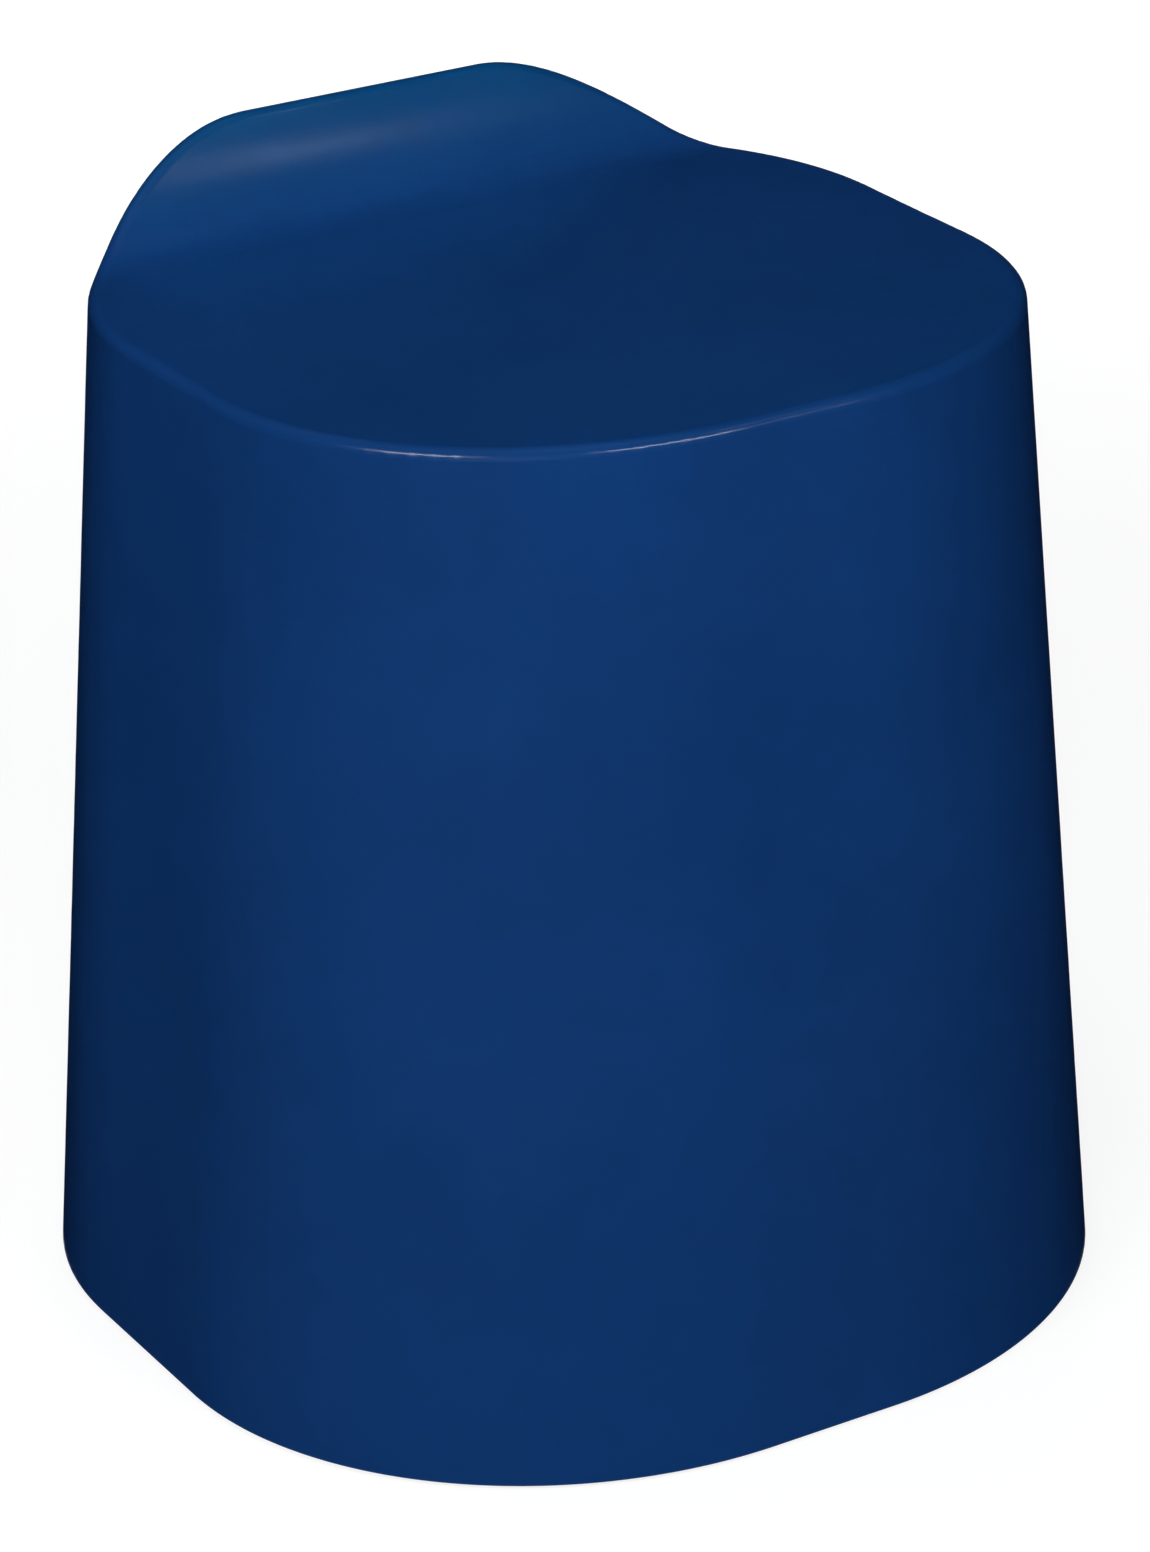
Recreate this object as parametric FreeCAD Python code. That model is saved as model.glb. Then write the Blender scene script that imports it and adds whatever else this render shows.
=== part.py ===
import FreeCAD, Part
import math
import os

# A moulded stool: one tapered shell with its seat and rear lip, closed at the foot by a plate
# that stands on four rubber pads. Millimetres, +Z up, front towards -Y, origin on the floor
# under the middle of the foot.

Vector = FreeCAD.Vector

# Overall sizes
base_width = 410.0
base_depth = 374.5
rim_height = 424.4        # floor to the front rim, before its edge is rounded
lip_rise = 32.6           # top of the lip above the front rim
dish_depth = 7.3          # the seat's fall from the front rim to its lowest line

# Taper of the wall, in degrees from upright
front_draft = 5.1
side_draft = 4.2
rear_draft = 1.3

# Plan outline of the wall at the foot
front_flat = 57.5         # straight stretch across the front
front_corner = 157.5      # depth of the large front corners
rear_corner = 139.5       # radius of the rear corners

# Section of the seat and lip, from front to back
scoop_radius = 28.0       # tight arc where the seat turns up
scoop_angle = 42.5        # slope at which it gives way to the lip's face
lip_radius = 144.0        # hollow of the lip's face
lip_angle = 58.0          # slope of the lip's face at its top

# Thickness, edges and ribs of the shell
wall = 4.5
seat_wall = 5.0
rim_radius = 4.5          # rounding along the whole upper edge
foot_radius = 0.6         # rounding along the wall's lower edge
rib = 3.0
rib_depth = 28.0          # below the lowest line of the seat's underside
rib_pitch = 95.0
rib_lines = 3             # each way

# Base plate
pad_proud = 1.5           # the pads stand this far below the wall
plate_recess = 6.0        # the plate lies this far above the wall's lower edge
plate = 4.0
plate_gap = 0.5           # between the plate's edge and the wall
flange = 3.0
flange_inset = 22.0       # from the wall's outer face
flange_height = 14.0
plate_rib = 2.5
plate_rib_height = 10.0
plate_rib_pitch = 80.0
plate_rib_lines = 4       # each way

# Screws, washers and the bosses that take them
screw_radius = 2.0
screw_head_radius = 4.0
screw_head = 2.4
hole_gap = 0.25           # round a screw in a plate, pad or washer
pilot_reach = 3.0         # blind hole past a screw's tip
boss_roof = 2.5           # closed end past the blind hole
boss_radius = 5.5
boss_inset = 4.5          # centre of a shell boss, in from the wall's inner face
base_screw_length = 18.0
base_screw_steps = 4      # from front centre to back centre on each side
foot_screw_length = 14.0
washer_radius = 6.0
washer = 1.0

# Foot pads
pad_radius = 17.0
pad_chamfer = 1.2
pad_inset = 40.0          # pad centre, in from the wall's outer face
pad_shares = {"front": 0.30, "rear": 0.77}   # place along the outline, front centre to back
pad_recess = 3.5          # the washer lies this far up inside the pad
recess_gap = 0.5          # round the washer in that recess
socket_gap = 0.3          # round a pad in its locating ring
socket_wall = 2.0
socket_height = 3.0

# Vent plug
plug_radius = 6.0
plug_gap = 0.1            # round the plug's stem in the plate
plug_head_radius = 10.0
plug_head = 2.0
plug_wall = 2.0
plug_reach = 4.0          # past the plate's upper face
plug_barb = 0.8           # past the hole's edge
vent_radius = 0.8

total_height = rim_height + lip_rise
seat_low = rim_height - dish_depth
foot_z = pad_proud
plate_z = foot_z + plate_recess
plate_top = plate_z + plate
above = total_height + 40.0      # clear of everything


def slope(degrees):
    return math.tan(math.radians(degrees))


def line(start, end):
    return Part.LineSegment(start, end).toShape()


def quarter(start, corner, end):
    """A quarter of an ellipse; corner is where its end tangents meet."""
    curve = Part.BezierCurve()
    curve.setPoles([start, corner, end])
    curve.setWeight(2, math.sqrt(0.5))
    return curve.toShape()


def cylinder(radius, low, high, place):
    return Part.makeCylinder(radius, high - low, Vector(place.x, place.y, low))


def sideCurve(z, inset, side):
    """One side of the wall's plan outline at height z, from its front flat to its back flat."""
    rise = z - foot_z
    wide = 1 - 2 * rise * slope(side_draft) / base_width
    deep = 1 - rise * (slope(front_draft) + slope(rear_draft)) / base_depth
    half = base_width / 2 * wide - inset
    front = -base_depth / 2 + rise * slope(front_draft)
    back = base_depth / 2 - rise * slope(rear_draft)
    front_end = front_flat / 2 * wide
    back_end = (base_width / 2 - rear_corner) * wide
    front_turn = front + front_corner * deep
    back_turn = back - rear_corner * deep

    def at(x, y):
        return Vector(side * x, y, z)

    return [
        quarter(at(front_end, front + inset), at(half, front + inset), at(half, front_turn)),
        line(at(half, front_turn), at(half, back_turn)),
        quarter(at(half, back_turn), at(half, back - inset), at(back_end, back - inset)),
    ]


def outline(z, inset):
    """The wall's closed plan outline at height z, drawn in by inset."""
    right = sideCurve(z, inset, 1)
    left = sideCurve(z, inset, -1)
    front = line(left[0].Vertexes[0].Point, right[0].Vertexes[0].Point)
    back = line(right[-1].Vertexes[-1].Point, left[-1].Vertexes[-1].Point)
    return Part.Wire([front] + right + [back] + left[::-1])


def tapered(low, high, inset):
    """The solid inside the wall's outline between two heights, drawn in by inset."""
    return Part.makeLoft([outline(low, inset), outline(high, inset)], True, True)


def along(share, z, inset, side):
    """A point on one side's outline, at a share of the way from front centre to back centre."""
    curve = sideCurve(z, inset, side)
    first = curve[0].Vertexes[0].Point
    last = curve[-1].Vertexes[-1].Point
    front = line(Vector(0, first.y, z), first)
    back = line(last, Vector(0, last.y, z))
    steps = 400
    points = Part.Wire([front] + curve + [back]).discretize(Number=steps + 1)
    return points[round(share * steps)]


def sectionArc(centre_y, centre_z, radius, start, end):
    """Arc in the section plane, between two angles in radians from straight down."""
    def at(angle):
        return Vector(0, centre_y + radius * math.sin(angle), centre_z - radius * math.cos(angle))

    return Part.Arc(at(start), at((start + end) / 2), at(end)).toShape()


def scoopStart():
    """Depth at which the seat turns up, for the rounded lip to end at total_height."""
    low_arc = math.radians(scoop_angle)
    top_arc = math.radians(lip_angle)
    face_end_y = (scoop_radius - lip_radius) * math.sin(low_arc)
    face_end_y += (lip_radius + rim_radius) * math.sin(top_arc)
    face_end_z = seat_low + scoop_radius - (scoop_radius - lip_radius) * math.cos(low_arc)
    face_end_z -= (lip_radius + rim_radius) * math.cos(top_arc)
    # the rounding's centre lies its radius inside both the lip's face and the back wall
    centre_z = total_height - rim_radius
    back = base_depth / 2 - (centre_z - foot_z) * slope(rear_draft)
    centre_y = back - rim_radius / math.cos(math.radians(rear_draft))
    return centre_y - face_end_y - (centre_z - face_end_z) / slope(lip_angle)


def seatSpace(depth):
    """The space above the seat and lip surface, or above that surface sunk by depth."""
    start = scoopStart()
    low_arc = math.radians(scoop_angle)
    top_arc = math.radians(lip_angle)
    front_rim = -base_depth / 2 + (rim_height - foot_z) * slope(front_draft)
    reach = start - front_rim
    seat_radius = (reach ** 2 + dish_depth ** 2) / (2 * dish_depth)
    front_arc = -math.asin((start + base_depth) / seat_radius)
    scoop_z = seat_low + scoop_radius
    face_y = start - (lip_radius - scoop_radius) * math.sin(low_arc)
    face_z = scoop_z + (lip_radius - scoop_radius) * math.cos(low_arc)

    seat = sectionArc(start, seat_low + seat_radius, seat_radius + depth, front_arc, 0)
    scoop = sectionArc(start, scoop_z, scoop_radius + depth, 0, low_arc)
    face = sectionArc(face_y, face_z, lip_radius + depth, low_arc, top_arc)

    first = seat.Vertexes[0].Point
    last = face.Vertexes[-1].Point
    beyond = last + Vector(0, base_depth, base_depth * slope(lip_angle))
    sky = beyond.z + base_depth
    corners = [last, beyond, Vector(0, beyond.y, sky), Vector(0, first.y, sky), first]
    edges = [seat, scoop, face]
    edges += [line(start_point, end_point) for start_point, end_point in zip(corners, corners[1:])]
    section = Part.Face(Part.Wire(edges))
    section.translate(Vector(-base_width, 0, 0))
    return section.extrude(Vector(2 * base_width, 0, 0))


def rimEdges(body):
    """The edges between seat and wall: those that only one of the seat's faces has."""
    seat_faces = [face for face in body.Faces if face.CenterOfMass.z > seat_low - seat_wall]
    edges = [edge for face in seat_faces for edge in face.Edges]
    return [edge for edge in edges if sum(edge.isSame(other) for other in edges) == 1]


def footEdges(body):
    return [edge for edge in body.Edges if edge.CenterOfMass.z < foot_z + foot_radius / 2]


def sheets(thickness, pitch, lines, low, high):
    """Upright sheets across the stool both ways, evenly spaced about its middle."""
    span = 2 * max(base_width, base_depth)
    found = []
    for index in range(lines):
        offset = (index - (lines - 1) / 2) * pitch - thickness / 2
        found.append(Part.makeBox(thickness, span, high - low, Vector(offset, -span / 2, low)))
        found.append(Part.makeBox(span, thickness, high - low, Vector(-span / 2, offset, low)))
    return found


def baseScrewPlaces():
    inset = wall + boss_inset
    places = []
    for step in range(base_screw_steps + 1):
        share = step / base_screw_steps
        places.append(along(share, plate_top, inset, 1))
        if 0 < step < base_screw_steps:
            places.append(along(share, plate_top, inset, -1))
    return places


def padPlaces():
    """Each pad's name and its centre."""
    hands = {"left": -1, "right": 1}
    return {
        end + "_" + hand: along(share, foot_z, pad_inset, side)
        for end, share in pad_shares.items()
        for hand, side in hands.items()
    }


def seatShell():
    outer = tapered(foot_z, above, 0).cut(seatSpace(0)).Solids[0]
    outer = outer.makeFillet(rim_radius, rimEdges(outer))
    outer = outer.makeFillet(foot_radius, footEdges(outer))

    pilot_top = plate_z + base_screw_length + pilot_reach
    rib_low = seat_low - seat_wall - rib_depth
    keep = sheets(rib, rib_pitch, rib_lines, rib_low, above)
    keep += [cylinder(boss_radius, plate_top, pilot_top + boss_roof, at) for at in baseScrewPlaces()]
    hollow = tapered(foot_z - wall, above, wall).cut(seatSpace(seat_wall)).Solids[0]
    hollow = hollow.cut(keep)
    pilots = [cylinder(screw_radius, plate_top - plate, pilot_top, at) for at in baseScrewPlaces()]
    return outer.cut([hollow] + pilots).Solids[0]


def basePlate():
    panel = tapered(plate_z, plate_top, wall + plate_gap)
    flange_top = plate_top + flange_height
    inner_side = flange_inset + flange
    ring = tapered(plate_z, flange_top, flange_inset).cut(tapered(plate_z, flange_top, inner_side))
    rib_top = plate_top + plate_rib_height
    grid = sheets(plate_rib, plate_rib_pitch, plate_rib_lines, plate_z, rib_top)
    within = tapered(plate_z, rib_top, flange_inset + flange / 2)
    pieces = [ring] + [sheet.common(within) for sheet in grid]

    pads = padPlaces().values()
    pilot_top = pad_recess + foot_screw_length + pilot_reach
    socket_z = plate_z - socket_height
    bore = pad_radius + socket_gap
    for at in pads:
        socket = cylinder(bore + socket_wall, socket_z, plate_top, at)
        pieces.append(socket.cut(cylinder(bore, socket_z, plate_z, at)))
        pieces.append(cylinder(boss_radius, plate_z, pilot_top + boss_roof, at))

    holes = [cylinder(screw_radius, plate_z, pilot_top, at) for at in pads]
    clear = screw_radius + hole_gap
    holes += [cylinder(clear, plate_z, plate_top, at) for at in baseScrewPlaces()]
    holes.append(cylinder(plug_radius, plate_z, plate_top, Vector()))
    return panel.fuse(pieces).cut(holes).removeSplitter().Solids[0]


def footPad(at):
    pad = cylinder(pad_radius, 0, plate_z, at)
    lowest = [edge for edge in pad.Edges if edge.BoundBox.ZMax < pad_chamfer / 2]
    pad = pad.makeChamfer(pad_chamfer, lowest)
    recess = cylinder(washer_radius + recess_gap, 0, pad_recess + washer, at)
    hole = cylinder(screw_radius + hole_gap, 0, plate_z, at)
    return pad.cut([recess, hole]).Solids[0]


def screw(at, seat_z, length):
    """A screw driven upwards, its head's bearing face at seat_z."""
    head = cylinder(screw_head_radius, seat_z - screw_head, seat_z, at)
    rounded = [edge for edge in head.Edges if edge.BoundBox.ZMax < seat_z - screw_head / 2]
    head = head.makeFillet(screw_head / 2, rounded)
    slot_depth = screw_head / 2
    slot = Part.makeBox(2 * screw_head_radius, slot_depth, slot_depth)
    slot.translate(Vector(at.x - screw_head_radius, at.y - slot_depth / 2, seat_z - screw_head))
    cross = slot.copy()
    cross.rotate(Vector(at.x, at.y, 0), Vector(0, 0, 1), 90)
    head = head.cut([slot, cross])
    shank = cylinder(screw_radius, seat_z - screw_head / 4, seat_z + length - screw_radius, at)
    tip = Part.makeCone(screw_radius, 0, screw_radius, Vector(at.x, at.y, seat_z + length - screw_radius))
    return head.fuse([shank, tip]).removeSplitter().Solids[0]


def washerRing(at):
    ring = cylinder(washer_radius, pad_recess, pad_recess + washer, at)
    return ring.cut(cylinder(screw_radius + hole_gap, pad_recess, pad_recess + washer, at))


def ventPlug():
    centre = Vector()
    stem_radius = plug_radius - plug_gap
    head = cylinder(plug_head_radius, plate_z - plug_head, plate_z, centre)
    lowest = [edge for edge in head.Edges if edge.BoundBox.ZMax < plate_z - plug_head / 2]
    head = head.makeFillet(plug_head / 2, lowest)
    stem = cylinder(stem_radius, plate_z - plug_head / 2, plate_top + plug_reach, centre)
    barb_radius = plug_radius + plug_barb
    barb = Part.makeCone(barb_radius, stem_radius - plug_barb, plug_reach, Vector(0, 0, plate_top))
    bore = cylinder(stem_radius - plug_wall, plate_z, plate_top + plug_reach, centre)
    vent = cylinder(vent_radius, plate_z - plug_head, plate_z, centre)
    return head.fuse([stem, barb]).cut([bore, vent]).removeSplitter().Solids[0]


def exportNode(name, solids):
    Part.makeCompound(solids).exportStep(os.path.join("parts", name + ".step"))
    volume = sum(solid.Volume for solid in solids)
    print(name, len(solids), "solid(s)", round(volume / 1000, 2), "cm3")


os.makedirs("parts", exist_ok=True)
exportNode("seat_shell", [seatShell()])
exportNode("base_plate", [basePlate()])
for pad_name, pad_place in padPlaces().items():
    exportNode("foot_pad_" + pad_name, [footPad(pad_place)])
exportNode("foot_washers", [washerRing(at) for at in padPlaces().values()])
exportNode("foot_screws", [screw(at, pad_recess, foot_screw_length) for at in padPlaces().values()])
exportNode("base_screws", [screw(at, plate_z, base_screw_length) for at in baseScrewPlaces()])
exportNode("vent_plug", [ventPlug()])
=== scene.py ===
import math

import bmesh
import bpy
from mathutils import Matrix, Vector, geometry

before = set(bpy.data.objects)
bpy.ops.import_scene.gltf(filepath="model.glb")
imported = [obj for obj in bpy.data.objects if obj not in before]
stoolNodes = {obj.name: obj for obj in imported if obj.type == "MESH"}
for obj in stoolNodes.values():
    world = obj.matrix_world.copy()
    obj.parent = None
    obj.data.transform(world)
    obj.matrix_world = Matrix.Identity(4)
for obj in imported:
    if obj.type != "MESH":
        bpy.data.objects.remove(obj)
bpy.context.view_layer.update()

# Metres, +Z up, front towards -Y, the stool's foot centred on the origin.
print("frame loaded:", len(stoolNodes), "nodes")


# Small helpers for building shader trees

def fillInputs(tree, sockets, values):
    # a value that is itself a socket is linked, any other is set
    for name, value in values.items():
        if isinstance(value, bpy.types.NodeSocket):
            tree.links.new(value, sockets[name])
        else:
            sockets[name].default_value = value


def addNode(tree, kind, inputs=None, **settings):
    made = tree.nodes.new("ShaderNode" + kind)
    for name, value in settings.items():
        setattr(made, name, value)
    fillInputs(tree, made.inputs, inputs or {})
    return made


def useGroup(tree, group, inputs):
    return addNode(tree, "Group", inputs, node_tree=group).outputs


def mathNode(tree, operation, *values, clamp=False):
    inputs = dict(enumerate(values))
    return addNode(tree, "Math", inputs, operation=operation, use_clamp=clamp).outputs[0]


def remap(tree, value, low, high, newLow=0.0, newHigh=1.0, style="SMOOTHSTEP"):
    inputs = {"Value": value, "From Min": low, "From Max": high, "To Min": newLow, "To Max": newHigh}
    return addNode(tree, "MapRange", inputs, interpolation_type=style).outputs["Result"]


def mixColours(tree, factor, first, second):
    factorPlace, firstPlace, secondPlace, colourPlace = 0, 6, 7, 2  # the Mix node's colour sockets
    inputs = {factorPlace: factor, firstPlace: first, secondPlace: second}
    return addNode(tree, "Mix", inputs, data_type="RGBA").outputs[colourPlace]


def onObject(tree):
    return addNode(tree, "TexCoord").outputs["Object"]


def noiseAt(tree, spot, scale, detail, **more):
    inputs = {"Vector": spot, "Scale": scale, "Detail": detail, **more}
    return addNode(tree, "TexNoise", inputs).outputs["Fac"]


def newGroup(name, inputs, outputs):
    tree = bpy.data.node_groups.new(name, "ShaderNodeTree")
    for label, value in inputs.items():
        kind = "NodeSocketFloat" if isinstance(value, float) else "NodeSocketColor"
        socket = tree.interface.new_socket(label, in_out="INPUT", socket_type=kind)
        socket.default_value = value
    for label, kind in outputs.items():
        tree.interface.new_socket(label, in_out="OUTPUT", socket_type=kind)
    entry = tree.nodes.new("NodeGroupInput")
    leave = tree.nodes.new("NodeGroupOutput")
    return tree, entry.outputs, leave.inputs


def newMaterial(name):
    material = bpy.data.materials.new(name)
    material.use_nodes = True
    tree = material.node_tree
    tree.nodes.clear()
    surface = tree.nodes.new("ShaderNodeBsdfPrincipled")
    ending = tree.nodes.new("ShaderNodeOutputMaterial")
    tree.links.new(surface.outputs[0], ending.inputs["Surface"])
    return material, tree, surface


def linear(red, green, blue):
    # a colour as a colour picker shows it, 0 to 255, turned into the shader's linear values
    parts = [part / 255 for part in (red, green, blue)]
    parts = [part / 12.92 if part <= 0.04045 else ((part + 0.055) / 1.055) ** 2.4 for part in parts]
    return (*parts, 1.0)


# Effects shared by the materials, each a group with its own inputs

driftDetail = {
    "cloudLow": 0.32,
    "cloudHigh": 0.68,
    "speckleFiner": 9.0,
    "speckleLow": 0.35,
    "speckleHigh": 0.65,
    "speckleShare": 0.35,
}


def makeColourDrift(detail):
    # slow cloudy change of tone, as colour masterbatch gives in a thick moulding
    grey, darkGrey = (0.5, 0.5, 0.5, 1.0), (0.4, 0.4, 0.4, 1.0)
    inputs = {"Colour": grey, "Deep colour": darkGrey, "Amount": 0.5, "Scale": 6.0}
    tree, entry, leave = newGroup("colourDrift", inputs, {"Colour": "NodeSocketColor"})
    spot = onObject(tree)
    cloudy = noiseAt(tree, spot, entry["Scale"], 4.0, Roughness=0.55)
    cloudy = remap(tree, cloudy, detail["cloudLow"], detail["cloudHigh"])
    finer = mathNode(tree, "MULTIPLY", entry["Scale"], detail["speckleFiner"])
    speckle = noiseAt(tree, spot, finer, 2.0)
    speckle = remap(tree, speckle, detail["speckleLow"], detail["speckleHigh"], 0.0, detail["speckleShare"])
    share = mathNode(tree, "ADD", cloudy, speckle)
    share = mathNode(tree, "MULTIPLY", share, entry["Amount"], clamp=True)
    tree.links.new(mixColours(tree, share, entry["Colour"], entry["Deep colour"]), leave["Colour"])
    return tree


grainDetail = {
    "pebbleSmoothness": 0.6,
    "pebbleTop": 0.1,
    "pebbleFoot": 0.75,
    "noiseFiner": 1.7,
    "waveScale": 14.0,
}


def makeMouldedGrain(detail):
    # etched mould texture: rounded pebbles broken by finer noise
    inputs = {"Scale": 900.0, "Pebbles": 0.5, "Waviness": 0.2}
    outputs = {"Height": "NodeSocketFloat", "Mask": "NodeSocketFloat"}
    tree, entry, leave = newGroup("mouldedGrain", inputs, outputs)
    spot = onObject(tree)
    pebbles = {"Vector": spot, "Scale": entry["Scale"], "Randomness": 1.0}
    pebbles["Smoothness"] = detail["pebbleSmoothness"]
    cells = addNode(tree, "TexVoronoi", pebbles, feature="SMOOTH_F1").outputs["Distance"]
    cells = remap(tree, cells, detail["pebbleTop"], detail["pebbleFoot"], 1.0, 0.0)
    finer = mathNode(tree, "MULTIPLY", entry["Scale"], detail["noiseFiner"])
    noise = noiseAt(tree, spot, finer, 3.0)
    pebbled = mathNode(tree, "MULTIPLY", cells, entry["Pebbles"])
    leftover = mathNode(tree, "SUBTRACT", 1.0, entry["Pebbles"])
    grain = mathNode(tree, "ADD", pebbled, mathNode(tree, "MULTIPLY", noise, leftover))
    wave = noiseAt(tree, spot, detail["waveScale"], 1.0)
    wave = mathNode(tree, "MULTIPLY", wave, entry["Waviness"])
    tree.links.new(mathNode(tree, "ADD", grain, wave), leave["Height"])
    tree.links.new(grain, leave["Mask"])
    return tree


wearDetail = {
    "edgeStarts": 0.998,  # how alike the rounded and the true normal are, 1 on a flat face
    "edgeFull": 0.90,
    "patchLow": 0.42,
    "patchHigh": 0.62,
}


def makeEdgeWear(detail):
    # light rubbing where a rounded normal turns away from the true one, broken up by noise
    inputs = {"Width": 0.003, "Amount": 0.5, "Scale": 60.0}
    tree, entry, leave = newGroup("edgeWear", inputs, {"Mask": "NodeSocketFloat"})
    rounded = addNode(tree, "Bevel", {"Radius": entry["Width"]}, samples=6).outputs["Normal"]
    flat = addNode(tree, "NewGeometry").outputs["Normal"]
    alike = addNode(tree, "VectorMath", {0: rounded, 1: flat}, operation="DOT_PRODUCT").outputs["Value"]
    edge = remap(tree, alike, detail["edgeStarts"], detail["edgeFull"])
    patchy = noiseAt(tree, onObject(tree), entry["Scale"], 6.0, Roughness=0.65)
    patchy = remap(tree, patchy, detail["patchLow"], detail["patchHigh"])
    worn = mathNode(tree, "MULTIPLY", edge, patchy)
    tree.links.new(mathNode(tree, "MULTIPLY", worn, entry["Amount"], clamp=True), leave["Mask"])
    return tree


scuffDetail = {
    "turns": (0.35, -0.9),  # radians, one for each direction of hairlines
    "axis": (0.3, 0.5, 0.8),
    "hairLow": 0.66,
    "hairHigh": 0.74,
    "patchScale": 9.0,
    "patchLow": 0.45,
    "patchHigh": 0.7,
}


def makeScuffs(detail):
    # fine crossed hairlines, stretched noise in two directions, gathered in patches
    inputs = {"Scale": 40.0, "Amount": 0.5, "Stretch": 30.0}
    tree, entry, leave = newGroup("scuffs", inputs, {"Mask": "NodeSocketFloat"})
    spot = onObject(tree)
    fine = mathNode(tree, "MULTIPLY", entry["Scale"], entry["Stretch"])
    size = addNode(tree, "CombineXYZ", {"X": fine, "Y": fine, "Z": entry["Scale"]}).outputs[0]
    lines = []
    for turn in detail["turns"]:
        placed = {"Vector": spot, "Axis": detail["axis"], "Angle": turn}
        turned = addNode(tree, "VectorRotate", placed).outputs[0]
        drawn = addNode(tree, "VectorMath", {0: turned, 1: size}, operation="MULTIPLY").outputs[0]
        hair = noiseAt(tree, drawn, 1.0, 1.0)
        lines.append(remap(tree, hair, detail["hairLow"], detail["hairHigh"]))
    both = mathNode(tree, "MAXIMUM", *lines)
    patch = noiseAt(tree, spot, detail["patchScale"], 3.0)
    patch = remap(tree, patch, detail["patchLow"], detail["patchHigh"])
    marks = mathNode(tree, "MULTIPLY", both, patch)
    tree.links.new(mathNode(tree, "MULTIPLY", marks, entry["Amount"], clamp=True), leave["Mask"])
    return tree


smudgeDetail = {"distortion": 0.6, "cloudLow": 0.3, "cloudHigh": 0.7}


def makeSmudges(detail):
    # broad soft patches where hands have polished or dulled the surface
    inputs = {"Scale": 12.0, "Low": 0.3, "High": 0.4}
    tree, entry, leave = newGroup("smudges", inputs, {"Value": "NodeSocketFloat"})
    cloud = noiseAt(tree, onObject(tree), entry["Scale"], 5.0, Distortion=detail["distortion"])
    cloud = remap(tree, cloud, detail["cloudLow"], detail["cloudHigh"])
    spread = mathNode(tree, "SUBTRACT", entry["High"], entry["Low"])
    tree.links.new(mathNode(tree, "MULTIPLY_ADD", cloud, spread, entry["Low"]), leave["Value"])
    return tree


heightDetail = {"noiseScale": 30.0, "facingLow": 0.1, "facingFull": 0.45}


def makeHeightMask(detail):
    # 0 at the low height and 1 at the high one, uneven by noise, on faces that look up (1) or down (-1)
    inputs = {"Low": 0.0, "High": 0.1, "Unevenness": 0.002, "Facing": 1.0}
    tree, entry, leave = newGroup("heightMask", inputs, {"Mask": "NodeSocketFloat"})
    spot = onObject(tree)
    height = addNode(tree, "SeparateXYZ", {"Vector": spot}).outputs["Z"]
    noise = noiseAt(tree, spot, detail["noiseScale"], 3.0)
    noise = mathNode(tree, "SUBTRACT", noise, 0.5)
    height = mathNode(tree, "MULTIPLY_ADD", noise, entry["Unevenness"], height)
    share = remap(tree, height, entry["Low"], entry["High"], style="LINEAR")
    normal = addNode(tree, "NewGeometry").outputs["Normal"]
    upright = addNode(tree, "SeparateXYZ", {"Vector": normal}).outputs["Z"]
    facing = mathNode(tree, "MULTIPLY", upright, entry["Facing"])
    facing = remap(tree, facing, detail["facingLow"], detail["facingFull"])
    tree.links.new(mathNode(tree, "MULTIPLY", share, facing), leave["Mask"])
    return tree


colourDrift = makeColourDrift(driftDetail)
mouldedGrain = makeMouldedGrain(grainDetail)
edgeWear = makeEdgeWear(wearDetail)
scuffs = makeScuffs(scuffDetail)
smudges = makeSmudges(smudgeDetail)
heightMask = makeHeightMask(heightDetail)
print("shared effects made")


# Moulded plastics: the navy shell, the black plate under it and the plug in the plate

shellLook = {
    "colour": linear(16, 58, 116),
    "deepColour": linear(14, 54, 109),
    "wornColour": linear(40, 84, 134),
    "scuffColour": linear(30, 76, 128),
    "drift": 0.8,
    "driftScale": 7.0,
    "roughLow": 0.17,
    "roughHigh": 0.21,
    "specular": 0.33,
    "grainScale": 1500.0,
    "pebbles": 0.35,
    "grainHeight": 0.00002,
    "grainStrength": 0.10,
    "wearWidth": 0.0025,
    "wear": 0.08,
    "scuffs": 0.12,
    "paintedLightAndDustColour": linear(4, 67, 117),  # painted light on the lip's hollow face: lighter and greener from its foot at the low height to its top
    "paintedLightAndDustLow": 0.418,
    "paintedLightAndDustHigh": 0.458,
    "paintedLightAndDustSide": 1.0,
    "paintedLightAndDust": 0.8,
}

plateLook = {
    "colour": linear(34, 36, 40),
    "deepColour": linear(26, 27, 31),
    "wornColour": linear(84, 87, 92),
    "scuffColour": linear(74, 77, 82),
    "drift": 0.7,
    "driftScale": 11.0,
    "roughLow": 0.46,
    "roughHigh": 0.60,
    "specular": 0.4,
    "grainScale": 700.0,
    "pebbles": 0.75,
    "grainHeight": 0.0001,
    "grainStrength": 0.45,
    "wearWidth": 0.0012,
    "wear": 0.55,
    "scuffs": 0.5,
    "paintedLightAndDustColour": linear(92, 90, 86),  # dust on the lowest faces
    "paintedLightAndDustLow": 0.011,
    "paintedLightAndDustHigh": 0.006,
    "paintedLightAndDustSide": -1.0,
    "paintedLightAndDust": 0.16,
}

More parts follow.
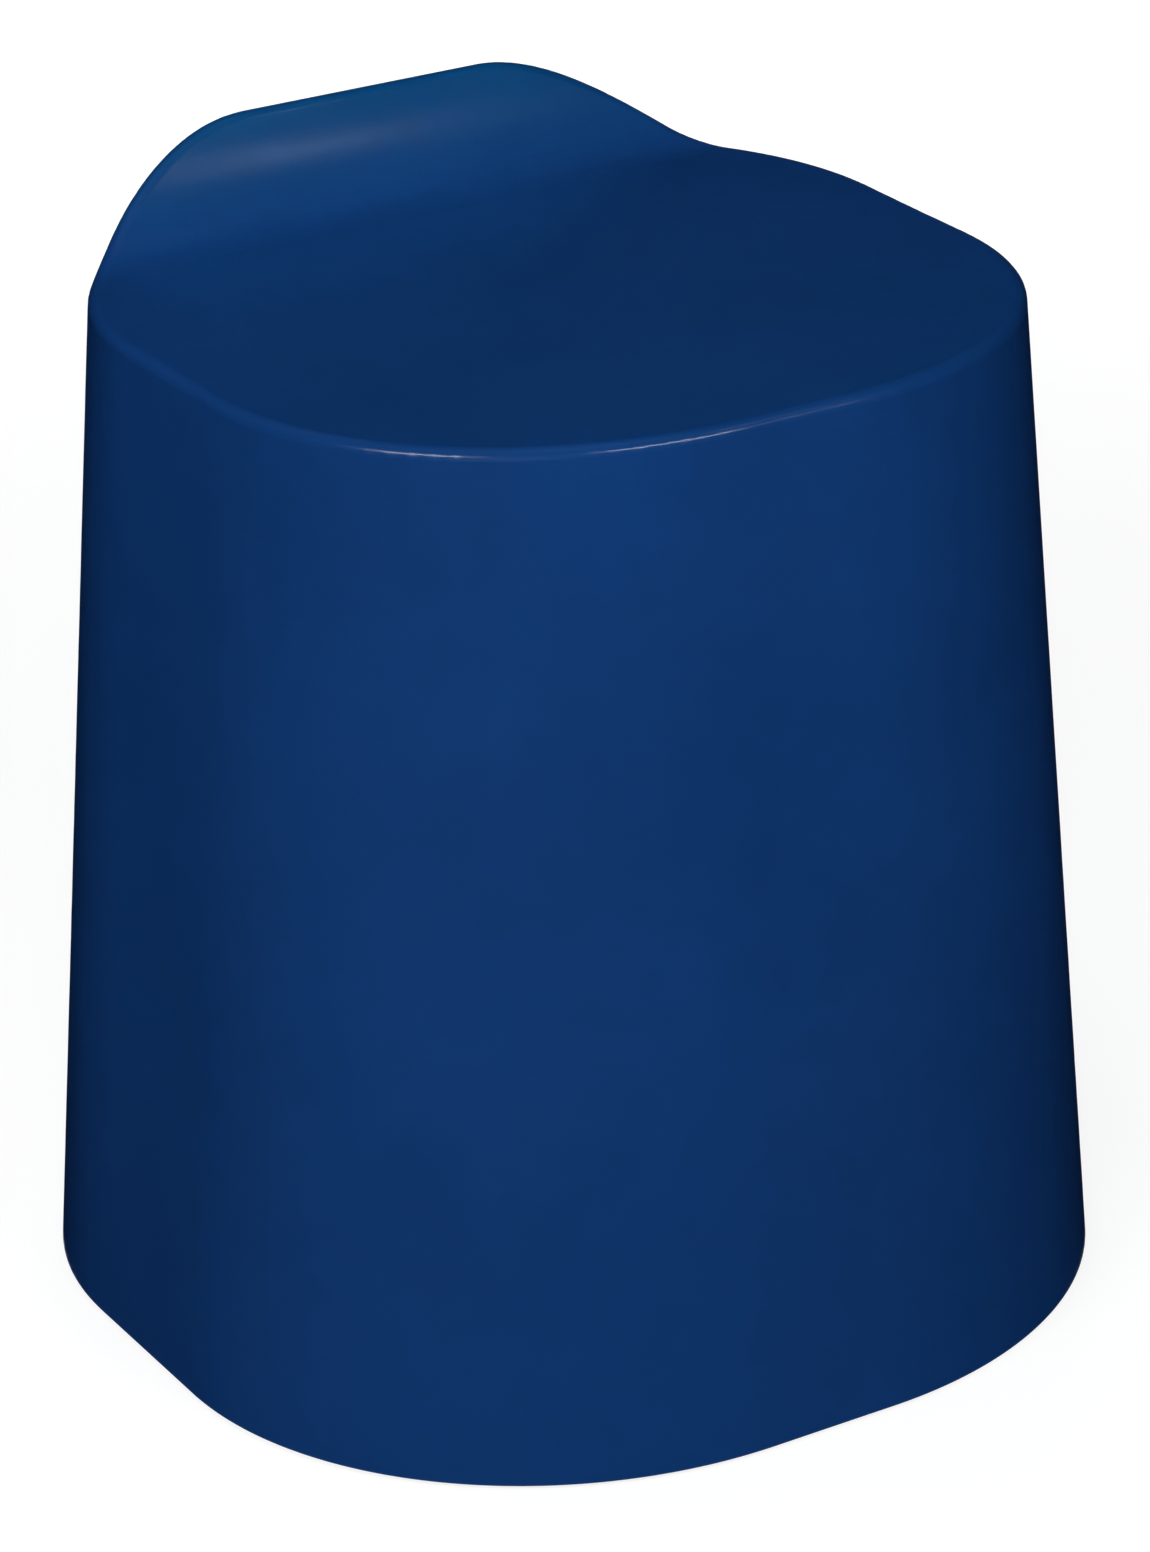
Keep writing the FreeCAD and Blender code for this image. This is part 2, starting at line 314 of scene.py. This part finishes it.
plugLook = {
    "colour": linear(24, 25, 28),
    "deepColour": linear(17, 18, 20),
    "wornColour": linear(70, 72, 76),
    "scuffColour": linear(62, 64, 68),
    "drift": 0.6,
    "driftScale": 30.0,
    "roughLow": 0.38,
    "roughHigh": 0.52,
    "specular": 0.45,
    "grainScale": 1300.0,
    "pebbles": 0.6,
    "grainHeight": 0.00005,
    "grainStrength": 0.35,
    "wearWidth": 0.0006,
    "wear": 0.5,
    "scuffs": 0.4,
    "paintedLightAndDustColour": linear(92, 90, 86),
    "paintedLightAndDustLow": 0.008,
    "paintedLightAndDustHigh": 0.005,
    "paintedLightAndDustSide": -1.0,
    "paintedLightAndDust": 0.14,
}

# the same for all three plastics
plasticDetail = {
    "paintedLightAndDustUnevenness": 0.003,
    "wearScale": 70.0,
    "scuffScale": 38.0,
    "scuffStretch": 34.0,
    "smudgeScale": 10.0,
    "wearDulls": 0.15,
    "scuffsDull": 0.2,
    "grainDulls": 0.03,
}


def mouldedPlastic(name, look, detail):
    material, tree, surface = newMaterial(name)
    drift = {"Colour": look["colour"], "Deep colour": look["deepColour"]}
    drift.update({"Amount": look["drift"], "Scale": look["driftScale"]})
    band = {"Low": look["paintedLightAndDustLow"], "High": look["paintedLightAndDustHigh"], "Facing": look["paintedLightAndDustSide"]}
    band["Unevenness"] = detail["paintedLightAndDustUnevenness"]
    rubbed = {"Width": look["wearWidth"], "Amount": look["wear"], "Scale": detail["wearScale"]}
    scuffed = {"Amount": look["scuffs"], "Scale": detail["scuffScale"], "Stretch": detail["scuffStretch"]}
    handled = {"Low": look["roughLow"], "High": look["roughHigh"], "Scale": detail["smudgeScale"]}
    worn = useGroup(tree, edgeWear, rubbed)["Mask"]
    marks = useGroup(tree, scuffs, scuffed)["Mask"]
    grain = useGroup(tree, mouldedGrain, {"Scale": look["grainScale"], "Pebbles": look["pebbles"]})
    # a colour mixed in by height and facing: painted light on the shell's lip, real dust on the plate and
    # plug
    paintedLightAndDustShare = mathNode(tree, "MULTIPLY", useGroup(tree, heightMask, band)["Mask"], look["paintedLightAndDust"])
    colour = useGroup(tree, colourDrift, drift)["Colour"]
    colour = mixColours(tree, paintedLightAndDustShare, colour, look["paintedLightAndDustColour"])
    colour = mixColours(tree, worn, colour, look["wornColour"])
    colour = mixColours(tree, marks, colour, look["scuffColour"])
    gloss = useGroup(tree, smudges, handled)["Value"]
    gloss = mathNode(tree, "MULTIPLY_ADD", worn, detail["wearDulls"], gloss)
    gloss = mathNode(tree, "MULTIPLY_ADD", marks, detail["scuffsDull"], gloss)
    gloss = mathNode(tree, "MULTIPLY_ADD", grain["Mask"], detail["grainDulls"], gloss, clamp=True)
    relief = {"Height": grain["Height"], "Strength": look["grainStrength"], "Distance": look["grainHeight"]}
    bump = addNode(tree, "Bump", relief).outputs[0]
    fillInputs(tree, surface.inputs, {"Base Color": colour, "Roughness": gloss, "Normal": bump})
    surface.inputs["Specular IOR Level"].default_value = look["specular"]
    return material


# Foot pads: matt rubber, dusty where it rubs

rubberLook = {
    "colour": linear(30, 30, 31),
    "deepColour": linear(21, 21, 22),
    "dust": linear(112, 108, 101),
    "drift": 0.8,
    "driftScale": 60.0,
    "roughLow": 0.68,
    "roughHigh": 0.86,
    "smudgeScale": 70.0,
    "specular": 0.3,
    "grainScale": 1100.0,
    "pebbles": 0.3,
    "grainHeight": 0.00009,
    "grainStrength": 0.5,
    "wearWidth": 0.0015,
    "wear": 0.6,
    "wearScale": 240.0,
    "scuffs": 0.6,
    "scuffScale": 120.0,
    "scuffStretch": 14.0,
    "dustDulls": 0.1,
}


def padRubber(name, look):
    material, tree, surface = newMaterial(name)
    drift = {"Colour": look["colour"], "Deep colour": look["deepColour"]}
    drift.update({"Amount": look["drift"], "Scale": look["driftScale"]})
    rubbed = {"Width": look["wearWidth"], "Amount": look["wear"], "Scale": look["wearScale"]}
    scuffed = {"Amount": look["scuffs"], "Scale": look["scuffScale"], "Stretch": look["scuffStretch"]}
    handled = {"Low": look["roughLow"], "High": look["roughHigh"], "Scale": look["smudgeScale"]}
    worn = useGroup(tree, edgeWear, rubbed)["Mask"]
    marks = useGroup(tree, scuffs, scuffed)["Mask"]
    soiled = mathNode(tree, "MAXIMUM", worn, marks)
    grain = useGroup(tree, mouldedGrain, {"Scale": look["grainScale"], "Pebbles": look["pebbles"]})
    colour = useGroup(tree, colourDrift, drift)["Colour"]
    colour = mixColours(tree, soiled, colour, look["dust"])
    gloss = useGroup(tree, smudges, handled)["Value"]
    gloss = mathNode(tree, "MULTIPLY_ADD", soiled, look["dustDulls"], gloss, clamp=True)
    relief = {"Height": grain["Height"], "Strength": look["grainStrength"], "Distance": look["grainHeight"]}
    bump = addNode(tree, "Bump", relief).outputs[0]
    fillInputs(tree, surface.inputs, {"Base Color": colour, "Roughness": gloss, "Normal": bump})
    surface.inputs["Specular IOR Level"].default_value = look["specular"]
    return material


# Screws and washers: zinc-plated steel, polished at the edges and dull where scratched

steelLook = {
    "colour": linear(188, 190, 192),
    "deepColour": linear(160, 163, 168),
    "dull": linear(120, 120, 118),
    "drift": 0.9,
    "driftScale": 160.0,
    "roughLow": 0.24,
    "roughHigh": 0.38,
    "smudgeScale": 200.0,
    "wearWidth": 0.0004,
    "wear": 0.7,
    "wearScale": 500.0,
    "wearDulls": -0.1,
    "scuffs": 0.7,
    "scuffScale": 260.0,
    "scuffStretch": 18.0,
    "scuffsDull": 0.2,
    "scratchHeight": 0.00003,
    "scratchStrength": 0.4,
}


def zincedSteel(name, look):
    material, tree, surface = newMaterial(name)
    drift = {"Colour": look["colour"], "Deep colour": look["deepColour"]}
    drift.update({"Amount": look["drift"], "Scale": look["driftScale"]})
    rubbed = {"Width": look["wearWidth"], "Amount": look["wear"], "Scale": look["wearScale"]}
    scuffed = {"Amount": look["scuffs"], "Scale": look["scuffScale"], "Stretch": look["scuffStretch"]}
    handled = {"Low": look["roughLow"], "High": look["roughHigh"], "Scale": look["smudgeScale"]}
    worn = useGroup(tree, edgeWear, rubbed)["Mask"]
    marks = useGroup(tree, scuffs, scuffed)["Mask"]
    colour = useGroup(tree, colourDrift, drift)["Colour"]
    colour = mixColours(tree, marks, colour, look["dull"])
    gloss = useGroup(tree, smudges, handled)["Value"]
    gloss = mathNode(tree, "MULTIPLY_ADD", marks, look["scuffsDull"], gloss)
    gloss = mathNode(tree, "MULTIPLY_ADD", worn, look["wearDulls"], gloss, clamp=True)
    relief = {"Height": marks, "Strength": look["scratchStrength"], "Distance": look["scratchHeight"]}
    bump = addNode(tree, "Bump", relief).outputs[0]
    fillInputs(tree, surface.inputs, {"Base Color": colour, "Roughness": gloss, "Normal": bump})
    surface.inputs["Metallic"].default_value = 1.0
    return material


finishes = {
    "shell": mouldedPlastic("navyShellPlastic", shellLook, plasticDetail),
    "base": mouldedPlastic("blackPlatePlastic", plateLook, plasticDetail),
    "plug": mouldedPlastic("blackPlugPlastic", plugLook, plasticDetail),
    "pad": padRubber("padRubber", rubberLook),
    "steel": zincedSteel("zincedSteel", steelLook),
}

nodeFinishes = {
    "seat_shell": "shell",
    "base_plate": "base",
    "foot_pad_front_left": "pad",
    "foot_pad_front_right": "pad",
    "foot_pad_rear_left": "pad",
    "foot_pad_rear_right": "pad",
    "foot_washers": "steel",
    "foot_screws": "steel",
    "base_screws": "steel",
    "vent_plug": "plug",
}

for nodeName, finish in nodeFinishes.items():
    for slot in stoolNodes[nodeName].material_slots:
        slot.material = finishes[finish]
print("materials placed on", len(nodeFinishes), "nodes")


# Stage: a pale floor that bends up into a wall all round, far outside the view

sweepSizes = {
    "ringRadii": (0.5, 1.0, 2.0, 3.0, 4.5),
    "bendRadius": 0.7,
    "bendSteps": 10,
    "wallTop": 1.7,
    "slices": 96,
}


def addStagePiece(name, mesh):
    piece = bpy.data.objects.new(name, mesh)
    bpy.context.scene.collection.objects.link(piece)
    return piece


def buildSweep(sizes):
    profile = [(radius, 0.0) for radius in sizes["ringRadii"]]
    floorEdge = sizes["ringRadii"][-1]
    bend = sizes["bendRadius"]
    for step in range(1, sizes["bendSteps"] + 1):
        turn = math.pi / 2 * step / sizes["bendSteps"]
        profile.append((floorEdge + bend * math.sin(turn), bend - bend * math.cos(turn)))
    profile.append((floorEdge + bend, sizes["wallTop"]))
    slices = sizes["slices"]
    angles = [2 * math.pi * step / slices for step in range(slices)]
    shape = bmesh.new()
    centre = shape.verts.new((0.0, 0.0, 0.0))
    rings = []
    for radius, height in profile:
        corners = [(radius * math.cos(angle), radius * math.sin(angle), height) for angle in angles]
        rings.append([shape.verts.new(corner) for corner in corners])
    for step in range(slices):
        after = (step + 1) % slices
        shape.faces.new((centre, rings[0][step], rings[0][after]))
        for inner, outer in zip(rings, rings[1:]):
            shape.faces.new((inner[step], outer[step], outer[after], inner[after]))
    for face in shape.faces:
        face.smooth = True
    mesh = bpy.data.meshes.new("studioSweep")
    shape.to_mesh(mesh)
    shape.free()
    return addStagePiece("studioSweep", mesh)


floorLook = {
    "colour": (0.36, 0.36, 0.36, 1.0),
    "rough": 0.9,
    "nearGlow": 0.77,
    "farGlow": 0.97,
    "glowStart": 0.5,
    "glowEnd": 2.6,
}


def paleFloor(look):
    # the glow is only what camera, gloss and glass see, so it never lights the stool
    material, tree, surface = newMaterial("paleFloor")
    away = addNode(tree, "VectorMath", {0: onObject(tree)}, operation="LENGTH").outputs["Value"]
    glow = remap(tree, away, look["glowStart"], look["glowEnd"], look["nearGlow"], look["farGlow"])
    path = addNode(tree, "LightPath").outputs
    seen = mathNode(tree, "MAXIMUM", path["Is Camera Ray"], path["Is Glossy Ray"])
    seen = mathNode(tree, "MAXIMUM", seen, path["Is Transmission Ray"])
    surface.inputs["Base Color"].default_value = look["colour"]
    surface.inputs["Roughness"].default_value = look["rough"]
    surface.inputs["Specular IOR Level"].default_value = 0.0
    surface.inputs["Emission Color"].default_value = (1.0, 1.0, 1.0, 1.0)
    tree.links.new(mathNode(tree, "MULTIPLY", glow, seen), surface.inputs["Emission Strength"])
    return material


buildSweep(sweepSizes).data.materials.append(paleFloor(floorLook))
print("floor built")


# Black cards, seen only in the stool's gloss, keep its edges deep: one lies on the floor
# from the foot outwards, the other stands round the stool

flagSizes = {
    "footHeight": 0.0025,  # shell points below this give the foot's outline
    "clearance": 1.003,
    "lift": 0.0004,
    "outer": 1.45,
    "top": 3.6,
}


def buildFlags(sizes):
    shellPoints = stoolNodes["seat_shell"].data.vertices
    footPoints = [point.co.xy for point in shellPoints if point.co.z < sizes["footHeight"]]
    outline = [footPoints[place] for place in geometry.convex_hull_2d(footPoints)]
    corners = [(*(point * sizes["clearance"]), sizes["lift"]) for point in outline]
    for height in (sizes["lift"], sizes["top"]):
        corners += [(*(point.normalized() * sizes["outer"]), height) for point in outline]
    steps = len(outline)
    faces = []
    for low in (0, steps):
        for step in range(steps):
            after = (step + 1) % steps
            faces.append((low + step, low + steps + step, low + steps + after, low + after))
    mesh = bpy.data.meshes.new("blackFlags")
    mesh.from_pydata(corners, [], faces)
    flags = addStagePiece("blackFlags", mesh)
    flags.visible_camera = False
    flags.visible_diffuse = False
    flags.visible_shadow = False
    flags.visible_transmission = False
    return flags


def blackCloth():
    material, tree, surface = newMaterial("blackCloth")
    surface.inputs["Base Color"].default_value = (0.004, 0.004, 0.005, 1.0)
    surface.inputs["Roughness"].default_value = 1.0
    surface.inputs["Specular IOR Level"].default_value = 0.0
    return material


buildFlags(flagSizes).data.materials.append(blackCloth())
print("black cards placed")


# Light: angles in degrees, azimuth 0 straight in front and 90 at +X, sizes in metres

stoolMiddle = (0.0, 0.0, 0.25)
plainLamp = {"aim": stoolMiddle, "spread": 180.0, "colour": (1.0, 1.0, 1.0), "inGloss": False}

lampLook = {
    "softBox_left": {  # long box, makes the light line on the rim's left half
        "azimuth": -65.0, "elevation": 37.0, "away": 1.6,
        "size": (0.66, 0.10), "watts": 6.3, "inGloss": True,
    },
    "softBox_right": {  # long box, makes the light line on the rim's right half
        "azimuth": 10.0, "elevation": 37.0, "away": 1.6,
        "size": (0.90, 0.10), "watts": 7.2, "inGloss": True,
    },
    "softBox_lip": {  # small box, makes the soft band on the lip
        "azimuth": 46.0, "elevation": 56.0, "away": 1.6,
        "size": (0.14, 0.04), "watts": 0.2, "inGloss": True,
    },
    "softBox_fill": {
        "azimuth": -37.0, "elevation": 20.0, "away": 3.0,
        "size": (1.6, 1.0), "watts": 36.0,
    },
    "softBox_back": {
        "azimuth": 150.0, "elevation": 6.0, "away": 3.0,
        "size": (2.0, 0.8), "watts": 42.0,
    },
    "softBox_top": {
        "azimuth": -150.0, "elevation": 58.0, "away": 1.0,
        "size": (0.5, 0.3), "watts": 1.7,
    },
    "accent": {  # narrow beam over the front rim, lifts the lip's hollow face
        "azimuth": -14.0, "elevation": 15.0, "away": 1.5, "aim": (-0.03, 0.15, 0.45),
        "size": (0.3, 0.04), "spread": 11.0, "watts": 0.044, "colour": (0.6, 1.0, 0.75),
    },
}


def lookFrom(made, look):
    # stands the object off from the point it aims at, and turns it to face that point
    turn, rise = math.radians(look["azimuth"]), math.radians(look["elevation"])
    level = math.cos(rise)
    outwards = Vector((math.sin(turn) * level, -math.cos(turn) * level, math.sin(rise)))
    made.location = Vector(look["aim"]) + outwards * look["away"]
    made.rotation_euler = outwards.to_track_quat("Z", "Y").to_euler()
    bpy.context.scene.collection.objects.link(made)


def addLamp(name, look):
    lamp = bpy.data.lights.new(name, "AREA")
    lamp.shape = "RECTANGLE"
    lamp.size, lamp.size_y = look["size"]
    lamp.spread = math.radians(look["spread"])
    lamp.energy = look["watts"]
    lamp.color = look["colour"]
    made = bpy.data.objects.new(name, lamp)
    made.visible_camera = False
    made.visible_glossy = look["inGloss"]
    lookFrom(made, look)


for lampName, ownLook in lampLook.items():
    addLamp(lampName, {**plainLamp, **ownLook})

roomLook = {"colour": (0.9, 0.95, 1.0, 1.0), "strength": 0.16}


def dimRoom(look):
    room = bpy.data.worlds.new("dimRoom")
    room.use_nodes = True
    shade = room.node_tree.nodes["Background"].inputs
    shade["Color"].default_value = look["colour"]
    shade["Strength"].default_value = look["strength"]
    return room


bpy.context.scene.world = dimRoom(roomLook)
print("lamps placed")


# Camera

cameraLook = {
    "azimuth": -32.10,
    "elevation": 25.43,
    "away": 2.402,
    "aim": (-0.0227, -0.0283, 0.230),
    "lens": 139.2,
    "sensor": 36.0,
    "clipEnd": 50.0,
}


def addCamera(look):
    view = bpy.data.cameras.new("camera")
    view.sensor_width = look["sensor"]
    view.lens = look["lens"]
    view.clip_end = look["clipEnd"]
    made = bpy.data.objects.new("camera", view)
    lookFrom(made, look)
    bpy.context.scene.camera = made


addCamera(cameraLook)
bpy.context.scene.view_settings.view_transform = "Standard"
print("camera set")
